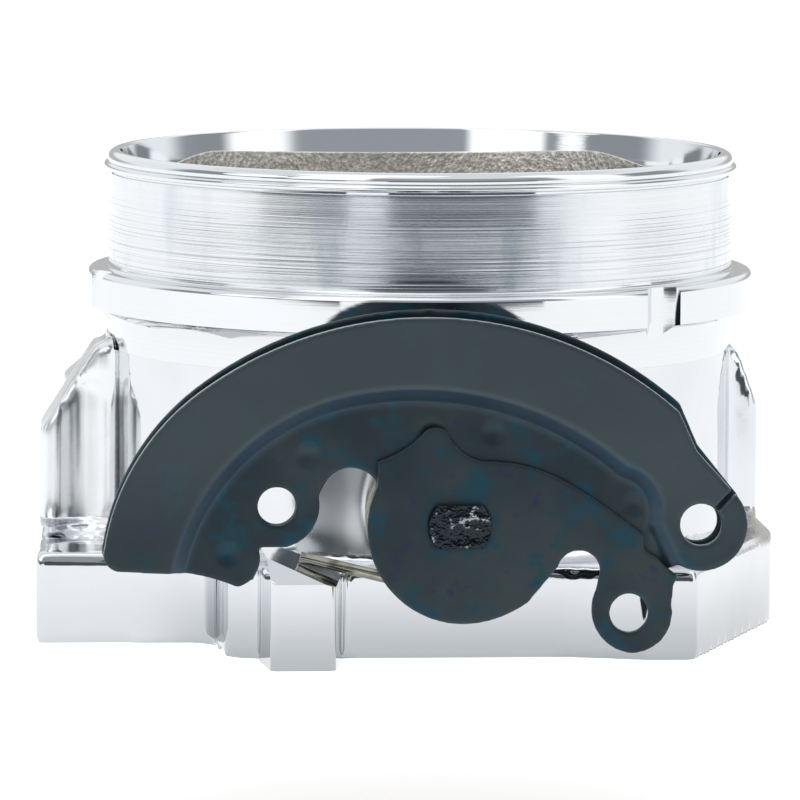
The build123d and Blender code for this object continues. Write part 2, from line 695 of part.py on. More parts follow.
def sensor_cover():
    start = sensor_face + sensor_depth
    body = rod(sensor_d / 2, -(start + sensor_cover_t), -start)
    body = fillet(body.edges().sort_by(Axis.Y)[-1], 1.0)
    body += rod(sensor_d / 2 - sensor_wall - cover_play, -start, -(start - 1.5))
    body -= rod(sensor_d / 2 - sensor_wall - 1.5, -start, -(start - 2))
    return on_shaft(body)


def sensor_rotor():
    start = sensor_face + sensor_floor + rotor_gap
    body = rod(rotor_d / 2, -(start + rotor_len), -start)
    body -= towards_cam(shaft_window(), -(sensor_face + sensor_floor + rotor_len), -(start - 1))
    wiper = towards_cam(Pos(0, rotor_d / 2 - 3) * Rectangle(4.0, 4.0), -(start + rotor_len + 1.0),
                        -(start + rotor_len))
    return on_shaft(body + wiper)


def sensor_seal_ring():
    outer, inner, thick = sensor_seal
    middle = (outer + inner) / 4
    ring = Torus(middle, (outer - inner) / 4 - 0.02)
    return on_shaft(Pos(0, sensor_face + thick / 2, 0) * Rot(90, 0, 0) * ring)


def cap_screws(places, face):
    """Socket screws that point towards the cam side, with their heads on a face at y = face."""
    head_d, head_h = small_head
    made = Part()
    for x, z in places:
        head = rod(head_d / 2, -(face + head_h), -face, x, z)
        head = chamfer(head.edges().sort_by(Axis.Y)[-1], 0.4)
        key = Pos(x, z) * RegularPolygon(hex_key / 2, 6, major_radius=False)
        head -= towards_cam(key, -(face + head_h + 1), -(face + 1.0))
        made += head + rod(small_screw_d / 2, -face, -(face - small_screw_len), x, z)
    return made


# ---- idle air valve --------------------------------------------------------------------------------
def valve_body():
    back = valve_block[2]
    ears = make_hull([e for x, z in valve_screw_places() for e in disc(valve_ear_d / 2, x, z).edges()])
    body = towards_cam(ears + disc(valve_can_d / 2, valve_x, valve_z), -(back + valve_ear_t), -back)
    nose_r = valve_bore_d / 2 - valve_nose_fit
    body += rod(nose_r, -back - 1, -(back - valve_nose_len), valve_x, valve_z)
    can = rod(valve_can_d / 2, -(back + valve_ear_t + valve_can_len), -(back + valve_ear_t), valve_x, valve_z)
    body += fillet(can.edges().sort_by(Axis.Y)[-1], 1.6)
    low, top = valve_plug()
    body += block((valve_x - 6.5, low, valve_z), (valve_x + 6.5, low + 10, top))
    body -= block((valve_x - 5.2, low + 1.3, top - 9), (valve_x + 5.2, low + 8.7, top + 1))
    for x in valve_terminal_rows():
        body -= block((x - 0.6, low + 4.6, top - 13), (x + 0.6, low + 5.4, top - 8))
    start = valve_ring_start()
    groove = rod(nose_r + 1, -(start + valve_ring_room), -start, valve_x, valve_z)
    body -= groove - rod(valve_ring[0] / 2, -(start + valve_ring_room), -start, valve_x, valve_z)
    guide = valve_stem_d / 2 + running_gap
    body -= rod(guide, -(back + 18), -(back - valve_nose_len - 1), valve_x, valve_z)
    for x, z in valve_screw_places():
        body -= rod(small_screw_d / 2 + 0.2, -(back + valve_ear_t + 1), -(back - 1), x, z)
    return body


def valve_plug():
    """Near face and top of the valve's connector."""
    return valve_block[2] + valve_ear_t + 9.0, valve_z + valve_can_d / 2 + 12.0


def valve_ring_start():
    return valve_block[2] - valve_nose_len + 1.2


def valve_terminal_rows():
    return [valve_x - 3.0, valve_x - 1.0, valve_x + 1.0, valve_x + 3.0]


def valve_terminals():
    low, top = valve_plug()
    made = Part()
    for x in valve_terminal_rows():
        made += block((x - 0.6, low + 4.6, top - 13), (x + 0.6, low + 5.4, top - 2.5))
    return made


def valve_pintle():
    """Cone and stem that close the bypass seat; at rest drawn back from it by the whole travel."""
    tip_r, base_r, length = valve_cone
    in_seat = length * (valve_seat_d / 2 - tip_r) / (base_r - tip_r)
    tip_y = valve_seat_y - in_seat + valve_seat_gap + valve_travel
    cone = Plane(origin=(valve_x, tip_y, valve_z), z_dir=(0, 1, 0)) * Cone(
        tip_r, base_r, length, align=(Align.CENTER, Align.CENTER, Align.MIN))
    stem = rod(valve_stem_d / 2, -(valve_block[2] + 16), -(tip_y + length - 1), valve_x, valve_z)
    return stem + cone


def valve_seal_ring():
    inner, thick = valve_ring
    ring = Torus(inner / 2 + thick / 2, thick / 2)
    middle = valve_ring_start() + valve_ring_room / 2
    return Pos(valve_x, middle, valve_z) * Rot(90, 0, 0) * ring


def bypass_plug():
    top = valve_block_top()
    cup = pillar(bypass_d / 2, *inlet_drilling, top - plug_len, top - 0.3)
    return cup - pillar(bypass_d / 2 - plug_wall, *inlet_drilling, top - plug_len + plug_wall, top)


NODES = {
    "throttle_housing": throttle_housing,
    "shaft_bearing_cam_side": lambda: shaft_bearing(1, cam_boss_end),
    "shaft_bearing_sensor_side": lambda: shaft_bearing(-1, sensor_face),
    "shaft_seal_cam_side": lambda: shaft_seal(1, cam_boss_end),
    "shaft_seal_sensor_side": lambda: shaft_seal(-1, sensor_face),
    "spring_sleeve": spring_sleeve,
    "return_spring": return_spring,
    "idle_stop_screw": idle_stop_screw,
    "idle_stop_lock_nut": idle_stop_lock_nut,
    "throttle_shaft": throttle_shaft,
    "throttle_blade": throttle_blade,
    "blade_screws": blade_screws,
    "cam_front_plate": cam_front_plate,
    "cam_rear_plate": cam_rear_plate,
    "cam_hub_plate": cam_hub_plate,
    "position_sensor_housing": sensor_housing,
    "position_sensor_cover": sensor_cover,
    "position_sensor_rotor": sensor_rotor,
    "position_sensor_seal": sensor_seal_ring,
    "position_sensor_terminals": sensor_terminals,
    "position_sensor_screws": lambda: cap_screws(sensor_screw_places(), sensor_face + sensor_ear_t),
    "idle_valve_body": valve_body,
    "idle_valve_pintle": valve_pintle,
    "idle_valve_seal": valve_seal_ring,
    "idle_valve_terminals": valve_terminals,
    "idle_valve_screws": lambda: cap_screws(valve_screw_places(), valve_block[2] + valve_ear_t),
    "bypass_plug": bypass_plug,
}

os.makedirs("parts", exist_ok=True)
for name, make in NODES.items():
    export_step(make(), f"parts/{name}.step")
    print("made", name)
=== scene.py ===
# %% [markdown]
# # A cable throttle body
# The real thing is a polished aluminium casting with a turned neck, a bored air way, a brass
# blade on a sprung shaft and a stamped steel cam on the shaft's end. The CAD model fixes every
# size and place. This script adds the finish: rounded cast edges, turning marks, pressed sheet
# and the way each metal takes the light.

# %% Load the fixed frame
import bpy
import math
from mathutils import Matrix, Vector


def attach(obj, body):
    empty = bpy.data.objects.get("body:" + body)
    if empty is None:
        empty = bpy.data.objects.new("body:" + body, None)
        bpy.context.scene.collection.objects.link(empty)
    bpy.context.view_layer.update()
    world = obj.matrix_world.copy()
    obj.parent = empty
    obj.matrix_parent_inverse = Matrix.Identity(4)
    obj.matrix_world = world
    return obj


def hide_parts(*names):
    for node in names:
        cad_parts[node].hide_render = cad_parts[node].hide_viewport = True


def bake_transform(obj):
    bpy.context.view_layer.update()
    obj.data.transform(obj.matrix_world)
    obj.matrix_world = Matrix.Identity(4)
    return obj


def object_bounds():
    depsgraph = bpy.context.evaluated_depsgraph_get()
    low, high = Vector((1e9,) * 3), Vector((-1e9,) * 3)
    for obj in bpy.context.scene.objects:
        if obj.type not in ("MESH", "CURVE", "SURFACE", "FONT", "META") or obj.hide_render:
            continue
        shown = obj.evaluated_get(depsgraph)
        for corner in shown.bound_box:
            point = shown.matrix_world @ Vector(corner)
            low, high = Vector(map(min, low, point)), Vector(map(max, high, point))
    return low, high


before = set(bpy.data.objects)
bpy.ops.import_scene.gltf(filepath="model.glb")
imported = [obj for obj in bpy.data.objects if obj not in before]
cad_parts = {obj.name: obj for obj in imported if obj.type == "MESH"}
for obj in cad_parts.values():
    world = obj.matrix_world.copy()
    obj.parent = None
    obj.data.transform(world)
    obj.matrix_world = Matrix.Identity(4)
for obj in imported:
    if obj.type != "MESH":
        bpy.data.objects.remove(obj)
cad_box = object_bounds()
MM = 0.001
scene = bpy.context.scene
print("CAD box", cad_box)


# %% [markdown]
# ## Camera
# A long lens from a little above and a little to the left keeps the circles of the neck flat and
# shows the cam at its full width. The camera looks at a point on the bore's axis.

# %% Camera
CAMERA_AZIMUTH, CAMERA_HEIGHT, CAMERA_ROLL = -4.625, 6.26, 0.315
CAMERA_DISTANCE, CAMERA_SHIFT, CAMERA_AIM = 1.2, -3.11 * MM, 35.135 * MM
CAMERA_LENS, CAMERA_SENSOR = 329.9, 36.0


def place_camera():
    a, e, r = (math.radians(v) for v in (CAMERA_AZIMUTH, CAMERA_HEIGHT, CAMERA_ROLL))
    back = Vector((math.sin(a) * math.cos(e), -math.cos(a) * math.cos(e), math.sin(e)))
    right = Vector((math.cos(a), math.sin(a), 0))
    up = back.cross(right)
    right, up = math.cos(r) * right + math.sin(r) * up, math.cos(r) * up - math.sin(r) * right
    data = bpy.data.cameras.new("camera")
    data.lens, data.sensor_width, data.clip_end = CAMERA_LENS, CAMERA_SENSOR, 30
    camera = bpy.data.objects.new("camera", data)
    scene.collection.objects.link(camera)
    axes = Matrix((right, up, back)).transposed().to_4x4()
    axes.translation = Vector((0, 0, CAMERA_AIM)) + right * CAMERA_SHIFT + back * CAMERA_DISTANCE
    camera.matrix_world = axes
    scene.camera = camera


place_camera()
scene.view_settings.view_transform = "Standard"


# %% [markdown]
# ## Shader arithmetic
# Procedural materials are mostly sums and products of a few patterns. Writing each of those as a
# node is slow to read, so a small class lets a socket be used in an ordinary expression.

# %% A socket that can be used in an expression
class Wire:
    """A number in a node tree. Sums, differences and products add the Math nodes they need."""

    def __init__(self, board, socket):
        self.board, self.socket = board, socket

    def math(self, operation, *others):
        values = dict(enumerate([self, *others]))
        node = self.board.node("ShaderNodeMath", dict(operation=operation), values)
        return Wire(self.board, node.outputs[0])

    def __add__(self, other):
        return self.math("ADD", other)

    def __sub__(self, other):
        return self.math("SUBTRACT", other)

    def __mul__(self, other):
        return self.math("MULTIPLY", other)

    def __rsub__(self, other):
        return self.math("MULTIPLY", -1.0) + other

    __radd__, __rmul__ = __add__, __mul__

    def between(self, low, high):
        """0 below low, 1 above high, and smooth from one to the other."""
        node = self.board.node("ShaderNodeMapRange", dict(interpolation_type="SMOOTHSTEP"),
                               {0: self, 1: low, 2: high})
        return Wire(self.board, node.outputs[0])


class Board:
    """A node tree being wired: a material's or the world's."""

    def __init__(self, tree):
        self.tree = tree
        tree.nodes.clear()

    def node(self, kind, settings=None, sockets=None):
        made = self.tree.nodes.new(kind)
        for key, value in (settings or {}).items():
            setattr(made, key, value)
        for key, value in (sockets or {}).items():
            self.feed(made.inputs[key], value)
        return made

    def feed(self, socket, value):
        if isinstance(value, Wire):
            self.tree.links.new(value.socket, socket)
        elif value is not None:
            socket.default_value = value

    def split(self, vector):
        node = self.node("ShaderNodeSeparateXYZ", {}, {0: vector})
        return [Wire(self, out) for out in node.outputs]

    def join(self, x, y, z):
        return Wire(self, self.node("ShaderNodeCombineXYZ", {}, {0: x, 1: y, 2: z}).outputs[0])

    def mix(self, factor, first, second):
        """A colour between two colours."""
        node = self.node("ShaderNodeMix", dict(data_type="RGBA"), {0: factor, 6: first, 7: second})
        return Wire(self, node.outputs[2])

    def noise(self, place, scale, detail=2.0, roughness=0.5):
        node = self.node("ShaderNodeTexNoise", {}, {"Vector": place, "Scale": scale, "Detail": detail,
                                                    "Roughness": roughness})
        return Wire(self, node.outputs["Fac"])

    def cells(self, place, scale):
        node = self.node("ShaderNodeTexVoronoi", {}, {"Vector": place, "Scale": scale})
        return Wire(self, node.outputs["Distance"])

    def bump(self, height, depth, normal=None):
        """A normal that follows a height of 0 to 1 over a depth in millimetres."""
        node = self.node("ShaderNodeBump", {}, {"Height": height, "Distance": depth * MM, "Strength": 1.0,
                                                "Normal": normal})
        return Wire(self, node.outputs[0])


class Finish(Board):
    """A material on the piece's own coordinates, in millimetres."""

    def __init__(self, name, **plain):
        self.material = bpy.data.materials.new(name)
        self.material.use_nodes = True
        super().__init__(self.material.node_tree)
        self.shader = self.node("ShaderNodeBsdfPrincipled")
        out = self.node("ShaderNodeOutputMaterial")
        self.tree.links.new(self.shader.outputs[0], out.inputs[0])
        where = Wire(self, self.node("ShaderNodeTexCoord").outputs["Object"])
        scaled = self.node("ShaderNodeVectorMath", dict(operation="SCALE"), {0: where, 3: 1 / MM})
        self.place = Wire(self, scaled.outputs[0])
        self.x, self.y, self.z = self.split(self.place)
        self.set(**plain)

    def set(self, **sockets):
        for key, value in sockets.items():
            self.feed(self.shader.inputs[key.replace("_", " ").title()], value)

    def radius(self):
        return (self.x * self.x + self.y * self.y).math("SQRT")

    def grooves(self, along, scale, sway=0.004):
        """Fine lines square to one direction, as a lathe or a mill leaves, that drift a little."""
        drift = [self.x * sway, self.y * sway, self.z * sway]
        drift["xyz".index(along)] = getattr(self, along)
        return self.noise(self.join(*drift), scale, 3.0, 0.75)


def rgb(red, green, blue):
    return (red, green, blue, 1.0)


# %% [markdown]
# ## Studio
# Polished metal has no colour of its own, it shows the room. So the room is planned by heading and
# height: a dark stretch ahead that gives the neck its slate middle, a soft box on each side of it,
# light walls at the sides and a dimmer wall behind.

# %% Room
def light_room():
    world = bpy.data.worlds.new("studio")
    scene.world = world
    world.use_nodes = True
    board = Board(world.node_tree)
    x, y, z = board.split(Wire(board, board.node("ShaderNodeTexCoord").outputs["Generated"]))
    heading = x.math("ARCTAN2", y * -1.0) * (180 / math.pi)

    def stretch(value, low, high, soft):
        """1 from low to high and 0 outside, with soft borders."""
        return value.between(low - soft, low + soft) * (1.0 - value.between(high - soft, high + soft))

    soft_box = rgb(1.35, 1.35, 1.35)
    ahead = stretch(heading, -72.0, 49.0, 7.0) * stretch(z, -0.4, 0.62, 0.06)
    left_box = stretch(heading, -55.0, -24.0, 2.5) * stretch(z, 0.11, 0.9, 0.03)
    right_box = stretch(heading, 50.0, 77.0, 5.0) * stretch(z, 0.0, 0.9, 0.03)
    dim = stretch(heading.math("ABSOLUTE"), 60.0, 108.0, 8.0) * stretch(z, 0.04, 0.55, 0.06)
    behind = (1.0 - stretch(heading, -140.0, 140.0, 14.0)) * stretch(z, -0.02, 0.16, 0.05)
    ceiling = z.between(0.62, 0.85)
    colour = board.mix(ceiling * 0.35, rgb(0.96, 0.98, 1.0), rgb(0.55, 0.57, 0.60))
    colour = board.mix(behind * 0.75, colour, rgb(0.36, 0.37, 0.36))
    colour = board.mix(dim * 0.95, colour, rgb(0.27, 0.285, 0.305))
    front = board.mix(z.between(-0.02, 0.14), rgb(0.105, 0.124, 0.142), rgb(0.35, 0.37, 0.39))
    colour = board.mix(ahead, colour, front)
    colour = board.mix(left_box, colour, soft_box)
    colour = board.mix(right_box, colour, soft_box)
    shade = board.node("ShaderNodeBackground", {}, {"Color": colour, "Strength": 1.0})
    out = board.node("ShaderNodeOutputWorld")
    board.tree.links.new(shade.outputs[0], out.inputs[0])


light_room()

# %% [markdown]
# ## Floor, cards and lamps
# The floor lies just below the reach of the opened cam. Two dark cards stand low in front, and only
# reflections see them. Two weak lamps add a soft shadow.

# %% Floor, cards and lamps
FLOOR_Z, FLOOR_WIDTH, FLOOR_GLOW = -36 * MM, 9, 0.66
CARD_LOW, CARD_HIGH, CARD_DISTANCE = -0.031, 0.075, 0.75
CARDS = {"card_left": (-64, -31), "card_right": (-16, 37)}
LAMP_AIM = (0, 0, 0.03)


def lay_floor():
    bpy.ops.mesh.primitive_plane_add(size=FLOOR_WIDTH, location=(0, 0, FLOOR_Z))
    floor = bpy.context.object
    floor.name = "studio_floor"
    finish = Finish("pale_floor", roughness=0.9, emission_color=rgb(1, 1, 1),
                    emission_strength=FLOOR_GLOW)
    grain = finish.noise(finish.place, 0.02, 2.0)
    finish.set(base_color=finish.mix(grain, rgb(0.50, 0.50, 0.50), rgb(0.53, 0.53, 0.53)))
    floor.data.materials.append(finish.material)


def stand_card(name, headings):
    """A dark card across the front, between two headings in degrees."""
    left, right = (CARD_DISTANCE * math.tan(math.radians(heading)) for heading in headings)
    bpy.ops.object.select_all(action="DESELECT")
    middle = ((left + right) / 2, -CARD_DISTANCE, (CARD_LOW + CARD_HIGH) / 2)
    bpy.ops.mesh.primitive_plane_add(size=1, rotation=(math.pi / 2, 0, 0), location=middle)
    card = bpy.context.object
    card.scale = (right - left, CARD_HIGH - CARD_LOW, 1)
    card.name = name
    bpy.ops.object.transform_apply()
    card.visible_camera = card.visible_shadow = False
    finish = Finish(name, roughness=1.0)
    nap = finish.noise(finish.place, 0.02, 2.0)
    finish.set(base_color=finish.mix(nap, rgb(0.05, 0.06, 0.07), rgb(0.08, 0.095, 0.11)))
    card.data.materials.append(finish.material)


def hang_lamp(name, place, size, power):
    data = bpy.data.lights.new(name, "AREA")
    data.shape, data.size, data.energy = "DISK", size, power
    lamp = bpy.data.objects.new(name, data)
    lamp.location = place
    lamp.rotation_euler = (Vector(LAMP_AIM) - Vector(place)).to_track_quat("-Z", "Y").to_euler()
    scene.collection.objects.link(lamp)


lay_floor()
for name, headings in CARDS.items():
    stand_card(name, headings)
hang_lamp("overhead", (-0.3, -0.35, 1.3), 0.9, 0.9)
hang_lamp("left_box", (-1.3, -0.5, 0.6), 0.7, 1.2)


# %% [markdown]
# ## Working with the mesh tools
# Every piece below is made with the same tools a modeller uses by hand. These helpers only spare
# the repeats: choose one piece, work on it in edit mode, apply a modifier, cut with another solid.

# %% Helpers for pieces
def choose(piece):
    bpy.ops.object.select_all(action="DESELECT")
    piece.select_set(True)
    bpy.context.view_layer.objects.active = piece


def edit(piece, mode="VERT"):
    choose(piece)
    bpy.ops.object.mode_set(mode="EDIT")
    bpy.ops.mesh.select_mode(type=mode)


def leave_edit():
    bpy.ops.object.mode_set(mode="OBJECT")


def modify(piece, kind, **settings):
    choose(piece)
    modifier = piece.modifiers.new(kind.lower(), kind)
    for key, value in settings.items():
        setattr(modifier, key, value)
    bpy.ops.object.modifier_apply(modifier=modifier.name)


def drop(piece):
    bpy.data.objects.remove(piece)


def cut(piece, tools, operation="DIFFERENCE"):
    for tool in tools:
        modify(piece, "BOOLEAN", object=tool, operation=operation, solver="EXACT")
        drop(tool)


def pin(radius, start, end):
    """A round cutter between two points in millimetres."""
    start, end = Vector(start) * MM, Vector(end) * MM
    bpy.ops.object.select_all(action="DESELECT")
    bpy.ops.mesh.primitive_cylinder_add(vertices=72, radius=radius * MM, depth=(end - start).length)
    made = bpy.context.object
    made.matrix_world = Matrix.Translation((start + end) / 2) @ (end - start).to_track_quat(
        "Z", "Y").to_matrix().to_4x4()
    bpy.ops.object.transform_apply()
    return made


def brick(low, high):
    """A rectangular cutter between two corners in millimetres."""
    low, high = Vector(low) * MM, Vector(high) * MM
    bpy.ops.object.select_all(action="DESELECT")
    bpy.ops.mesh.primitive_cube_add(size=1, location=(low + high) / 2, scale=high - low)
    made = bpy.context.object
    bpy.ops.object.transform_apply()
    return made


def copy_of(node, name):
    """A copy of a CAD node with its loose triangles merged into one skin."""
    piece = bpy.data.objects.new(name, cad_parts[node].data.copy())
    scene.collection.objects.link(piece)
    piece.data.materials.clear()
    edit(piece)
    bpy.ops.mesh.select_all(action="SELECT")
    bpy.ops.mesh.remove_doubles(threshold=0.001 * MM)
    leave_edit()
    return piece


def finish_piece(piece, name, finish, body, nodes=(), angle=40, even=False):
    piece.name = name
    piece.data.materials.clear()
    piece.data.materials.append(finish.material)
    choose(piece)
    bpy.ops.object.shade_smooth_by_angle(angle=math.radians(angle))
    if even:
        modify(piece, "WEIGHTED_NORMAL", keep_sharp=True, weight=80)
    if body:
        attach(piece, body)
    if nodes:
        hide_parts(*nodes)
    print(name, "has", len(piece.data.polygons), "faces")


# %% [markdown]
# ## Turned ring: finish
# The neck, lip and bore were turned on a lathe after the casting was polished. The neck keeps the
# tool's fine rings, the lip was polished after it, the mouth is a bright cut, and between the mouth
# and the bore the sand-cast skin was left as it came. One material holds all four, because they
# meet at sharp borders that follow the height and the radius. Two things in it are not marks of the
# lathe: the darker middle of the neck's front stands in for a reflection that the room does not
# give, and a slight lean in the bump turns the shoulder's reflection down to the floor.

# %% Turned aluminium
def rings(finish, scale, detail=3.0):
    """Turning marks: a pattern that only changes with height, and drifts a little on the way round."""
    return finish.noise(finish.join(finish.x * 0.0002, finish.y * 0.0002, finish.z), scale, detail, 0.7)


def sand_skin(finish):
    """Height of a sand-cast skin: grains of two sizes with some pits."""
    grains = finish.cells(finish.place, 1.5)
    fine = finish.noise(finish.place, 3.4, 3.0, 0.7)
    broad = finish.noise(finish.place, 0.5, 2.0)
    return grains * 0.7 + fine * 0.5 + broad * 0.6


SKIN_TOP_Z, SKIN_DIP, SKIN_RISE, SKIN_END_DIP = 76.3, 4.25, 1.6, 3.6
SHOULDER_FACE, SHOULDER_LEAN = (50.5, 56.5), 0.018


def turned_aluminium():
    finish = Finish("turned_aluminium", metallic=1.0)
    r, z = finish.radius(), finish.z
    neck = z.between(57.5, 58.1) * (1.0 - z.between(72.4, 72.8)) * r.between(50.0, 50.2)
    wide = finish.x * (1 / 38)
    ends = finish.x.math("ABSOLUTE").between(31.0, 45.0)
    border = SKIN_TOP_Z - (SKIN_DIP - wide * wide * SKIN_RISE) - ends * SKIN_END_DIP
    inside = 1.0 - r.between(49.2, 49.4)
    skin = inside * (1.0 - (z - border).between(-0.12, 0.12)) * z.between(46.0, 46.5)
    coarse = 1.0 - z.between(66.5, 70.5)
    marks = rings(finish, 1.7) * (0.25 + coarse * 0.75)
    sweep = rings(finish, 5.5, 2.0)
    fine = rings(finish, 9.0, 1.0)
    cuts = rings(finish, 2.9, 1.0).between(0.56, 0.66) * coarse * neck
    neck_patches_and_painted_reflection = finish.noise(finish.join(finish.x, finish.y, finish.z * 0.25), 0.16, 3.0).between(0.5, 0.75)
    first = finish.bump(marks * neck + sweep * (neck * 0.12) - cuts * 0.5, 0.07)
    low, high = SHOULDER_FACE
    lean = finish.bump(z.between(low, high) * (high - low), SHOULDER_LEAN, first)
    second = finish.bump(fine, 0.0022, lean)
    third = finish.bump(sand_skin(finish) * skin, 0.16, second)
    tone = finish.noise(finish.place, 1.1, 3.0)
    metal = finish.mix(rings(finish, 2.6), rgb(0.74, 0.76, 0.78), rgb(0.84, 0.855, 0.87))
    cast = finish.mix(tone.between(0.35, 0.7), rgb(0.50, 0.485, 0.45), rgb(0.80, 0.78, 0.73))
    metal = finish.mix(cuts * 0.4, metal, rgb(0.50, 0.54, 0.58))
    # Painted reflection: this mask and the second mix below paint the middle of the neck's front darker and
    # bluer, where the room gives no dark reflection; the first mix below adds bluish-grey patches of tone
    # all round the neck.
    middle = 1.0 - finish.x.math("ABSOLUTE").between(12.0, 32.0)
    middle = middle * (1.0 - finish.y.between(-40.0, -25.0)) * neck
    metal = finish.mix(neck_patches_and_painted_reflection * neck * 0.35, metal, rgb(0.56, 0.62, 0.68))
    metal = finish.mix((neck_patches_and_painted_reflection * 0.45 + 0.35) * middle, metal, rgb(0.40, 0.46, 0.51))
    finish.set(base_color=finish.mix(skin, metal, cast), normal=third,
               roughness=0.055 + neck * 0.11 + neck_patches_and_painted_reflection * neck * 0.08 + skin * 0.33)
    return finish


TURNED = turned_aluminium()
print("turned aluminium uses", len(TURNED.tree.nodes), "nodes")

# %% [markdown]
# ## Turned ring: shape
# This is a lathe job, so it is modelled like one: a circle at the foot of the bore is pulled up
# along the outside, over the shoulder and the rolled lip, and down the inside until it closes.
# Each station is a radius and a height. The holes are cut afterwards, as they are on the bench.

# %% Lathe
def lathe(name, stations, sides=288):
    radius, height = stations[0]
    bpy.ops.object.select_all(action="DESELECT")
    bpy.ops.mesh.primitive_circle_add(vertices=sides, radius=radius * MM, location=(0, 0, height * MM))
    piece = bpy.context.object
    piece.name = name
    bpy.ops.object.transform_apply()
    edit(piece, "EDGE")
    bpy.ops.mesh.select_all(action="SELECT")
    for new_radius, new_height in stations[1:] + stations[:1]:
        step = (0, 0, (new_height - height) * MM)
        bpy.ops.mesh.extrude_edges_move(TRANSFORM_OT_translate={"value": step})
        grow = new_radius / radius
        bpy.ops.transform.resize(value=(grow, grow, 1), center_override=(0, 0, 0))
        radius, height = new_radius, new_height
    bpy.ops.mesh.select_all(action="SELECT")
    bpy.ops.mesh.remove_doubles(threshold=0.001 * MM)
    bpy.ops.mesh.normals_make_consistent(inside=False)
    leave_edit()
    return piece


def arc(centre, radius, start, end, steps=6):
    """Stations along a round edge, from one angle to another in degrees."""
    turns = [math.radians(start + (end - start) * i / steps) for i in range(steps + 1)]
    return [(centre[0] + radius * math.cos(t), centre[1] + radius * math.sin(t)) for t in turns]


top = cad_box[1][2] / MM
BORE_R, RING_FOOT_R, BARREL_R, SHOULDER_R, NECK_R, MOUTH_R = 42.5, 46.9, 50.5, 54.2, 50.8, 48.8
RUN_OUT_Z, RING_LOW_Z, RING_TOP_Z, THROAT_Z = 44.4, 51.2, 57.2, 46.0
LIP_Z, FLOOR_Z_MOUTH, MOUTH_TAPER = top - 3.1, top - 4.2, 0.33


def run_out():
    """The hollow sweep from the barrel out to the shoulder."""
    count = 8
    places = [i / count for i in range(count + 1)]
    return [(BARREL_R + (SHOULDER_R - BARREL_R) * (1 - math.cos(p * math.pi / 2)) ** 0.9,
             RUN_OUT_Z + (RING_LOW_Z - RUN_OUT_Z) * math.sin(p * math.pi / 2) ** 1.1) for p in places]


def throat():
    """The cast taper that narrows from under the mouth to the bore."""
    count = 14
    places = [i / count for i in range(count + 1)]
    fall = FLOOR_Z_MOUTH - THROAT_Z
    return [(BORE_R + (MOUTH_R - 0.5 - BORE_R) * math.sin((1 - p) * math.pi / 2) ** 0.9,
             FLOOR_Z_MOUTH - fall * p) for p in places]


OUTSIDE = (
    run_out()
    + arc((SHOULDER_R - 0.9, RING_TOP_Z - 0.9), 0.9, 0, 90, 5)
    + arc((NECK_R + 0.5, RING_TOP_Z + 0.5), 0.5, 270, 180, 4)
    + [(NECK_R, LIP_Z - 0.5), (NECK_R - 0.45, LIP_Z - 0.35), (NECK_R - 0.45, LIP_Z - 0.05)]
    + arc((NECK_R + 0.2, LIP_Z + 0.6), 0.6, -90, 90, 8)
    + [(NECK_R + 0.05, LIP_Z + 1.3)]
    + arc((NECK_R - 1.15, LIP_Z + 1.75), 1.33, -18, 92, 8))
stations = (
    [(BORE_R, 0.0), (RING_FOOT_R, 0.0), (RING_FOOT_R, RUN_OUT_Z)] + OUTSIDE
    + [(MOUTH_R + 0.15, top - 0.12), (MOUTH_R, top - 0.4), (MOUTH_R - MOUTH_TAPER, FLOOR_Z_MOUTH + 0.3)]
    + throat())
ring = lathe("housing_turned_ring", stations)
print("ring turned from", len(stations), "stations")

# %% [markdown]
# ## Turned ring: holes
# The shaft crosses the ring, two ports lead to the idle valve, and the cutter that spot-faced the
# three bolt seats left a round notch in the shoulder beside each of them.

# %% Holes in the ring
SHAFT_Z, SHAFT_HOLE_R, SHAFT_REACH, PORT_R = 24.0, 5.05, 60, 3.5
BOLT_R, FIRST_BOLT, CUTTER_R, CUTTER_LOW, CUTTER_HIGH = 56.0, -49.0, 4.3, 20, 70
PORT_DEPTH = 0.8
bolts = [(BOLT_R * math.cos(a), BOLT_R * math.sin(a))
         for a in (math.radians(FIRST_BOLT + 120 * i) for i in range(3))]
PORTS = ((38.0, 31.5, 8.0), (32.0, 39.5, 38.5))
holes = [pin(SHAFT_HOLE_R, (0, -SHAFT_REACH, SHAFT_Z), (0, SHAFT_REACH, SHAFT_Z))]
holes += [pin(PORT_R, (x * PORT_DEPTH, y * PORT_DEPTH, z), (x, y, z)) for x, y, z in PORTS]
holes += [pin(CUTTER_R, (x, y, CUTTER_LOW), (x, y, CUTTER_HIGH)) for x, y in bolts]
cut(ring, holes)
finish_piece(ring, "housing_turned_ring", TURNED, "housing", angle=32, even=True)

# %% [markdown]
# ## Polished casting
# The rest of the housing is an aluminium casting that was buffed to a mirror. Buffing rounds every
# edge and leaves the flats faintly wavy, so nothing in its reflections is quite straight. A voxel
# remesh of the CAD shape followed by smoothing does the same thing to a mesh. The flange's foot is
# milled, the hollow behind the cam is duller, and one spot on the flange is still rough from the
# sand. Light and shade are painted into the colour in three places: the casting is painted darker
# towards the bottom as painted shade, and the darker middle of the flange's front and the lighter,
# duller left rib are painted reflections that stand in for reflections the room does not give. The
# rib's front leans a little in the bump only.

# %% Polished aluminium
RIB_X, RIB_LEAN = -48.0, 0.14


